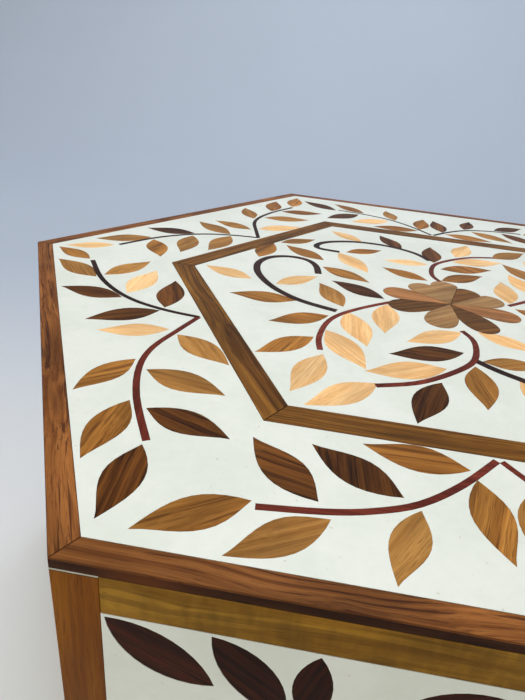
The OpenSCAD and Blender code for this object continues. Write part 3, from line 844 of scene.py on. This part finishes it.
@dataclass
class Upholstery:
    """Velvet pads glued inside the box, and the felt under it, in metres.

    Attributes:
        finishes: where the cloth comes from.
        thick: thickness of a pad near its edge.
        crown: how much thicker a wall pad is in the middle.
        swell: distance from the edge over which it thickens.
        edge: radius of its rounded edge.
        lip: thickness of its very edge, as a share of thick.
        gap: room between a pad and its neighbours.
        wave: share by which the crown rises and falls.
        waves: radians of those waves in each metre, along and across.
        phase: where the waves along the pad start.
        crease: the angle above which an edge shows as a crease.
        across: faces across a wall pad.
        up: faces up a wall pad.
        rings: faces from the middle of a hexagonal pad to its edge.
        fill: how full of its CAD solid a pad is; not used.
    """

    finishes: Finishes
    thick: float = 0.001
    crown: float = 0.0009
    swell: float = 0.012
    edge: float = 0.0012
    lip: float = 0.3
    gap: float = 0.0003
    wave: float = 0.12
    waves: tuple[float, float] = (190.0, 230.0)
    phase: float = 1.3
    crease: float = math.radians(50)
    across: int = 30
    up: int = 20
    rings: int = 18
    fill: float = 0.9

    def wall(self, name: str, size: tuple[float, float], place: Matrix) -> bpy.types.Object:
        """Make a rectangular pad whose face looks along its own +Z.

        Args:
            name: its name.
            size: its width and height.
            place: where its back's middle goes.

        Returns:
            The pad.
        """
        deselect()
        bpy.ops.mesh.primitive_grid_add(x_subdivisions=self.across, y_subdivisions=self.up, size=2)
        pad = bpy.context.object
        half = [length / 2 - self.gap for length in size]
        for vertex in pad.data.vertices:
            for axis in (0, 1):
                vertex.co[axis] = math.sin(math.pi / 2 * vertex.co[axis]) * half[axis]
        return self._stuff(pad, name, lambda co: min(half[0] - abs(co.x), half[1] - abs(co.y)),
                           self.crown, place)

    def hexagon(self, name: str, apothem: float, crown: float, place: Matrix) -> bpy.types.Object:
        """Make a hexagonal pad with two sides along X.

        Args:
            name: its name.
            apothem: its half width across the flats.
            crown: how far its middle rises.
            place: where its back's middle goes.

        Returns:
            The pad.
        """
        deselect()
        bpy.ops.mesh.primitive_circle_add(vertices=FACES, radius=1 / math.cos(SECTOR), fill_type="TRIFAN")
        pad = bpy.context.object
        bpy.ops.object.mode_set(mode="EDIT")
        bpy.ops.mesh.select_all(action="SELECT")
        bpy.ops.mesh.subdivide(number_cuts=self.rings - 1)
        bpy.ops.object.mode_set(mode="OBJECT")
        corner = max(pad.data.vertices, key=lambda v: v.co.length).co
        pad.data.transform(Matrix.Rotation(-math.atan2(corner.y, corner.x), 4, "Z"))
        angles = [SECTOR * (1 + 2 * k) for k in range(FACES)]
        normals = [Vector((math.cos(a), math.sin(a), 0)) for a in angles]

        def reach(co: Vector) -> float:
            """How far out a point lies, 1 on the edge."""
            return max(n.dot(co) for n in normals)
        for vertex in pad.data.vertices:
            out = reach(vertex.co)
            if out > 0:
                vertex.co *= math.sin(math.pi / 2 * min(out, 1.0)) / out * apothem
        return self._stuff(pad, name, lambda co: apothem - reach(co), crown, place)

    def _height(self, co: Vector, depth: float, crown: float) -> float:
        """Give the height of a pad's face.

        Args:
            co: the point on the pad.
            depth: how far it lies inside the outline.
            crown: how far the middle rises.

        Returns:
            The height over the pad's back.
        """
        rounded = math.sqrt(1 - (1 - min(depth / self.edge, 1.0)) ** 2)
        wave = self.wave * math.sin(co.x * self.waves[0] + self.phase) * math.sin(co.y * self.waves[1])
        full = crown * (1 - math.exp(-depth / self.swell)) * (1 + wave)
        return self.thick * (self.lip + (1 - self.lip) * rounded) + full

    def _stuff(self, pad: bpy.types.Object, name: str, inside: Callable[[Vector], float],
               crown: float, place: Matrix) -> bpy.types.Object:
        """Give a flat outline its thickness and its crowned face with a rounded edge.

        Args:
            pad: the flat outline.
            name: the pad's name.
            inside: how far a point lies inside the outline.
            crown: how far the middle rises.
            place: where its back's middle goes.

        Returns:
            The pad.
        """
        pick(pad)
        bpy.ops.object.mode_set(mode="EDIT")
        bpy.ops.mesh.select_all(action="SELECT")
        bpy.ops.mesh.extrude_region_move(TRANSFORM_OT_translate={"value": (0, 0, self.thick)})
        bpy.ops.object.mode_set(mode="OBJECT")
        for vertex in pad.data.vertices:
            if vertex.co.z > self.thick / 2:
                vertex.co.z = self._height(vertex.co, max(0.0, inside(vertex.co)), crown)
        bpy.ops.object.mode_set(mode="EDIT")
        bpy.ops.mesh.select_all(action="SELECT")
        bpy.ops.mesh.normals_make_consistent(inside=False)
        bpy.ops.object.mode_set(mode="OBJECT")
        bpy.ops.object.shade_smooth_by_angle(angle=self.crease)
        pad.name = pad.data.name = name
        pad.data.transform(place)
        return pad

    def line(self, node: str, body: str, walls: tuple[float, float], inner: float) -> None:
        """Line the six walls of a cavity.

        Args:
            node: the CAD lining.
            body: the body it rides on.
            walls: the heights where the lining starts and ends.
            inner: the walls' distance from the middle.
        """
        width = 2 * (inner - self.lip * self.thick) * math.tan(SECTOR)
        low, high = walls
        for k in range(FACES):
            turn = Matrix.Rotation(2 * SECTOR * k, 4, "Z")
            stand = Matrix.Translation((0, inner, (low + high) / 2)) @ Matrix.Rotation(math.pi / 2, 4, "X")
            pad = self.wall(f"{node}_pad_{k + 1}", (width, high - low), turn @ stand)
            settle(pad, node, body, self.finishes)

    def lay(self, name: str, node: str, body: str, cavity: float, place: Matrix) -> None:
        """Lay a pad on a cavity's floor or ceiling.

        Args:
            name: the pad's name.
            node: the CAD lining that it stands for.
            body: the body it rides on.
            cavity: the cavity's half width across the flats.
            place: where the pad's back goes.
        """
        pad = self.hexagon(name, cavity - self.thick - self.gap, 2 * self.crown, place)
        settle(pad, node, body, self.finishes)

    def case(self) -> None:
        """Line the case and lay its floor pad and its felt."""
        low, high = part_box("wall_lining")
        self.line("wall_lining", "case", (low.z, high.z), high.y)
        self.lay("floor_lining_pad", "floor_lining", "case", high.y, Matrix.Translation((0, 0, low.z)))
        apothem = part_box("base_felt")[1].y
        felt = self.hexagon("base_felt_sheet", apothem, 0.0, Matrix.Translation((0, 0, self.thick))
                            @ Matrix.Rotation(math.pi, 4, "X"))
        settle(felt, "base_felt", "case", self.finishes)

    def lid(self) -> None:
        """Line the lid and its ceiling."""
        low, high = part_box("lid_lining")
        self.line("lid_lining", "lid", (low.z, high.z), high.y)
        self.lay("lid_lining_ceiling", "lid_lining", "lid", high.y,
                 Matrix.Translation((0, 0, high.z)) @ Matrix.Rotation(math.pi, 4, "X"))


@dataclass
class Lid:
    """The lid: its skin of strips, leaves and resin, its core and its lining.

    Attributes:
        woods: makes its wooden pieces.
        metals: makes its hinge halves.
        soft: lines it.
        body: its body.
        strips: its mitred strips.
        inlays: its leaves and petals.
        vines: its bent vines.
        side_strips: the stiles and rails of its sides.
        core: its plain boards.
        poured: its resin.
        brass: its hinge parts.
    """

    woods: WoodWork
    metals: MetalWork
    soft: Upholstery
    body: str = "lid"
    strips: Sequence[str] = (*numbered("frame_strip"), *numbered("band_strip"))
    inlays: Sequence[str] = ("leaves_dark", "leaves_brown", "leaves_tan", "leaves_pale",
                             "petals_dark", "petals_brown", "petals_tan")
    vines: Sequence[str] = ("vines_dark", "vines_red")
    side_strips: Sequence[str] = ("lid_stiles", "lid_top_rails", "lid_bottom_rails")
    core: Sequence[str] = (*numbered("lid_wall"), "lid_top_board")
    poured: Sequence[str] = ("border_resin", "centre_resin", "lid_side_resin")
    brass: Sequence[str] = ("hinge_lid_leaves", "hinge_lid_screws")

    def build(self) -> None:
        """Make and dress every piece of the lid."""
        for node in (*self.strips, *self.vines):
            self.woods.make(node, self.body, Side.TOP, False)
        for node in self.inlays:
            self.woods.make(node, self.body, Side.TOP, True)
        for node in (*self.side_strips, "lid_side_vines"):
            self.woods.make(node, self.body, Side.WALL, False)
        self.woods.make("lid_side_leaves", self.body, Side.WALL, True)
        for node in self.core:
            self.woods.make(node, self.body, None, False)
        for node in self.poured:
            settle(copy_node(node, "fill", False), node, self.body, self.woods.finishes)
        for node in self.brass:
            self.metals.make(node, self.body)
        self.soft.lid()


@dataclass
class Case:
    """The case: its skin, core, linings, base felt and its half of the hinges.

    Attributes:
        woods: makes its wooden pieces.
        metals: makes its hinge halves and pins.
        soft: lines it.
        body: its body.
        side_strips: the stiles and rails of its sides.
        core: its plain boards.
        poured: its resin.
        brass: its hinge parts.
    """

    woods: WoodWork
    metals: MetalWork
    soft: Upholstery
    body: str = "case"
    side_strips: Sequence[str] = ("body_stiles", "body_top_rails", "body_bottom_rails")
    core: Sequence[str] = (*numbered("body_wall"), "floor_board")
    poured: str = "body_side_resin"
    brass: Sequence[str] = ("hinge_case_leaves", "hinge_case_screws", "hinge_pins")

    def build(self) -> None:
        """Make and dress every piece of the case."""
        for node in (*self.side_strips, "body_side_vines"):
            self.woods.make(node, self.body, Side.WALL, False)
        self.woods.make("body_side_leaves", self.body, Side.WALL, True)
        for node in self.core:
            self.woods.make(node, self.body, None, False)
        settle(copy_node(self.poured, "fill", False), self.poured, self.body, self.woods.finishes)
        for node in self.brass:
            self.metals.make(node, self.body)
        self.soft.case()


@dataclass(frozen=True)
class Softbox:
    """A square softbox that faces a point.

    Attributes:
        name: its name.
        place: its centre.
        size: its side.
        watts: its power.
        colour: its colour.
        aim: the point that it faces.
    """

    name: str
    place: tuple[float, float, float]
    size: float
    watts: float
    colour: Colour
    aim: tuple[float, float, float] = (0.0, 0.0, 0.1)

    def build(self) -> None:
        """Add the light."""
        data = bpy.data.lights.new(self.name, "AREA")
        data.shape = "SQUARE"
        data.size, data.energy, data.color = self.size, self.watts, self.colour
        lamp = bpy.data.objects.new(self.name, data)
        lamp.location = self.place
        lamp.rotation_euler = (Vector(self.aim) - Vector(self.place)).to_track_quat("-Z", "Y").to_euler()
        bpy.context.scene.collection.objects.link(lamp)


@dataclass
class Studio:
    """Floor, backdrop, lights and camera, in metres and radians.

    Attributes:
        half_width: half the width of the sheet that is the floor and the backdrop.
        front: where it starts, in front of the box.
        bend_start: where its bend starts, behind the box.
        bend_radius: radius of the bend.
        wall_top: height of the backdrop.
        bend_steps: faces along the bend.
        fade: where the floor starts and ends to turn into the backdrop's colour.
        floor_colour: colour of the floor.
        wall_colour: colour of the backdrop.
        lens: the camera's focal length, in millimetres.
        sensor: width of its sensor, in millimetres.
        shift: how far its picture is shifted, right and up.
        clip: the nearest and farthest points that it sees.
        eye: where it stands, from the middle of the lid's top.
        azimuth: how far it looks to the right of +Y.
        elevation: how far it looks down.
        roll: how far it is rolled.
        sky: colour of the light from all round.
        sky_strength: strength of that light.
        softboxes: the lights.
    """

    half_width: float = 5.0
    front: float = -5.0
    bend_start: float = 0.75
    bend_radius: float = 1.1
    wall_top: float = 4.0
    bend_steps: int = 48
    fade: tuple[float, float] = (-0.1, 0.35)
    floor_colour: Colour = srgb(216, 218, 222)
    wall_colour: Colour = srgb(172, 182, 199)
    lens: float = 29.36
    sensor: float = 36.0
    shift: tuple[float, float] = (-0.0571, -0.0376)
    clip: tuple[float, float] = (0.005, 50.0)
    eye: tuple[float, float, float] = (-0.0422, -0.2168, 0.0834)
    azimuth: float = -0.0746
    elevation: float = 0.4430
    roll: float = 0.1146
    sky: Colour = srgb(232, 230, 226)
    sky_strength: float = 0.34
    softboxes: Sequence[Softbox] = (
        Softbox("softbox_top", (-0.35, -0.2, 1.5), 1.2, 11.6, (1.0, 0.995, 0.965)),
        Softbox("softbox_front", (-1.5, -1.6, 0.9), 1.0, 15.0, (1.0, 0.93, 0.7)),
        Softbox("softbox_wall", (0.0, 1.0, 2.2), 1.2, 26.0, (0.97, 0.99, 1.0), (0.0, 2.0, 0.7)),
    )

    CLOUD: ClassVar[Pattern] = Pattern(even(3.0))

    def camera(self) -> None:
        """Put the camera near the front left corner, its eye measured from the lid's top centre."""
        ce, se = math.cos(self.elevation), math.sin(self.elevation)
        forward = Vector((math.sin(self.azimuth) * ce, math.cos(self.azimuth) * ce, -se))
        right = forward.cross(Vector((0, 0, 1))).normalized()
        up = right.cross(forward)
        c, s = math.cos(self.roll), math.sin(self.roll)
        right, up = right * c + up * s, up * c - right * s
        turn = Matrix((right, up, -forward)).transposed().to_4x4()
        data = bpy.data.cameras.new("camera")
        data.sensor_width = self.sensor
        data.lens = self.lens
        data.shift_x, data.shift_y = self.shift
        data.clip_start, data.clip_end = self.clip
        camera = bpy.data.objects.new("camera", data)
        camera.matrix_world = Matrix.Translation(Vector(self.eye) + Vector((0, 0, CAD_BOX[1].z))) @ turn
        bpy.context.scene.collection.objects.link(camera)
        bpy.context.scene.camera = camera

    def sweep(self) -> None:
        """Make the floor and the wall behind as one sheet with a wide bend."""
        deselect()
        bpy.ops.mesh.primitive_grid_add(x_subdivisions=1, y_subdivisions=self.bend_steps + 2, size=2)
        floor = bpy.context.object
        floor.name = "studio_floor"
        angles = [math.pi / 2 * i / self.bend_steps for i in range(self.bend_steps + 1)]
        profile = [(self.front, 0.0)]
        profile += [(self.bend_start + self.bend_radius * math.sin(a),
                     self.bend_radius * (1 - math.cos(a))) for a in angles]
        profile.append((self.bend_start + self.bend_radius, self.wall_top))
        rows = sorted({round(v.co.y, 5) for v in floor.data.vertices})
        for vertex in floor.data.vertices:
            y, z = profile[rows.index(round(vertex.co.y, 5))]
            vertex.co = (math.copysign(self.half_width, vertex.co.x), y, z)
        bpy.ops.object.shade_smooth()
        floor.data.materials.append(self._paper())

    def _paper(self) -> bpy.types.Material:
        """Build the sheet's finish, which turns cooler and darker behind the box."""
        s = Shader("studio")
        here = s.here()
        colour = s.mix(s.part(here, "Y").ramp(*self.fade), self.floor_colour, self.wall_colour)
        colour = s.vary(colour, s.noise(here, self.CLOUD), 0.06, 0.99)
        return s.finish(Base_Color=colour, Roughness=0.8)

    def build(self) -> None:
        """Set up the whole studio."""
        self.camera()
        self.sweep()
        for softbox in self.softboxes:
            softbox.build()
        world = bpy.data.worlds.new("world")
        world.use_nodes = True
        background = world.node_tree.nodes["Background"]
        background.inputs["Color"].default_value = (*self.sky, 1.0)
        background.inputs["Strength"].default_value = self.sky_strength
        bpy.context.scene.world = world
        bpy.context.scene.view_settings.view_transform = "Standard"


def main() -> None:
    """Build the studio, the lid and the case."""
    logging.basicConfig(level=logging.INFO, format="%(name)s: %(message)s")
    Studio().build()
    finishes = Finishes()
    crafts = WoodWork(finishes), MetalWork(finishes), Upholstery(finishes)
    for part in (Lid(*crafts), Case(*crafts)):
        part.build()
        LOG.info("%s done", part.body)
    deselect()


if __name__ == "__main__":
    main()
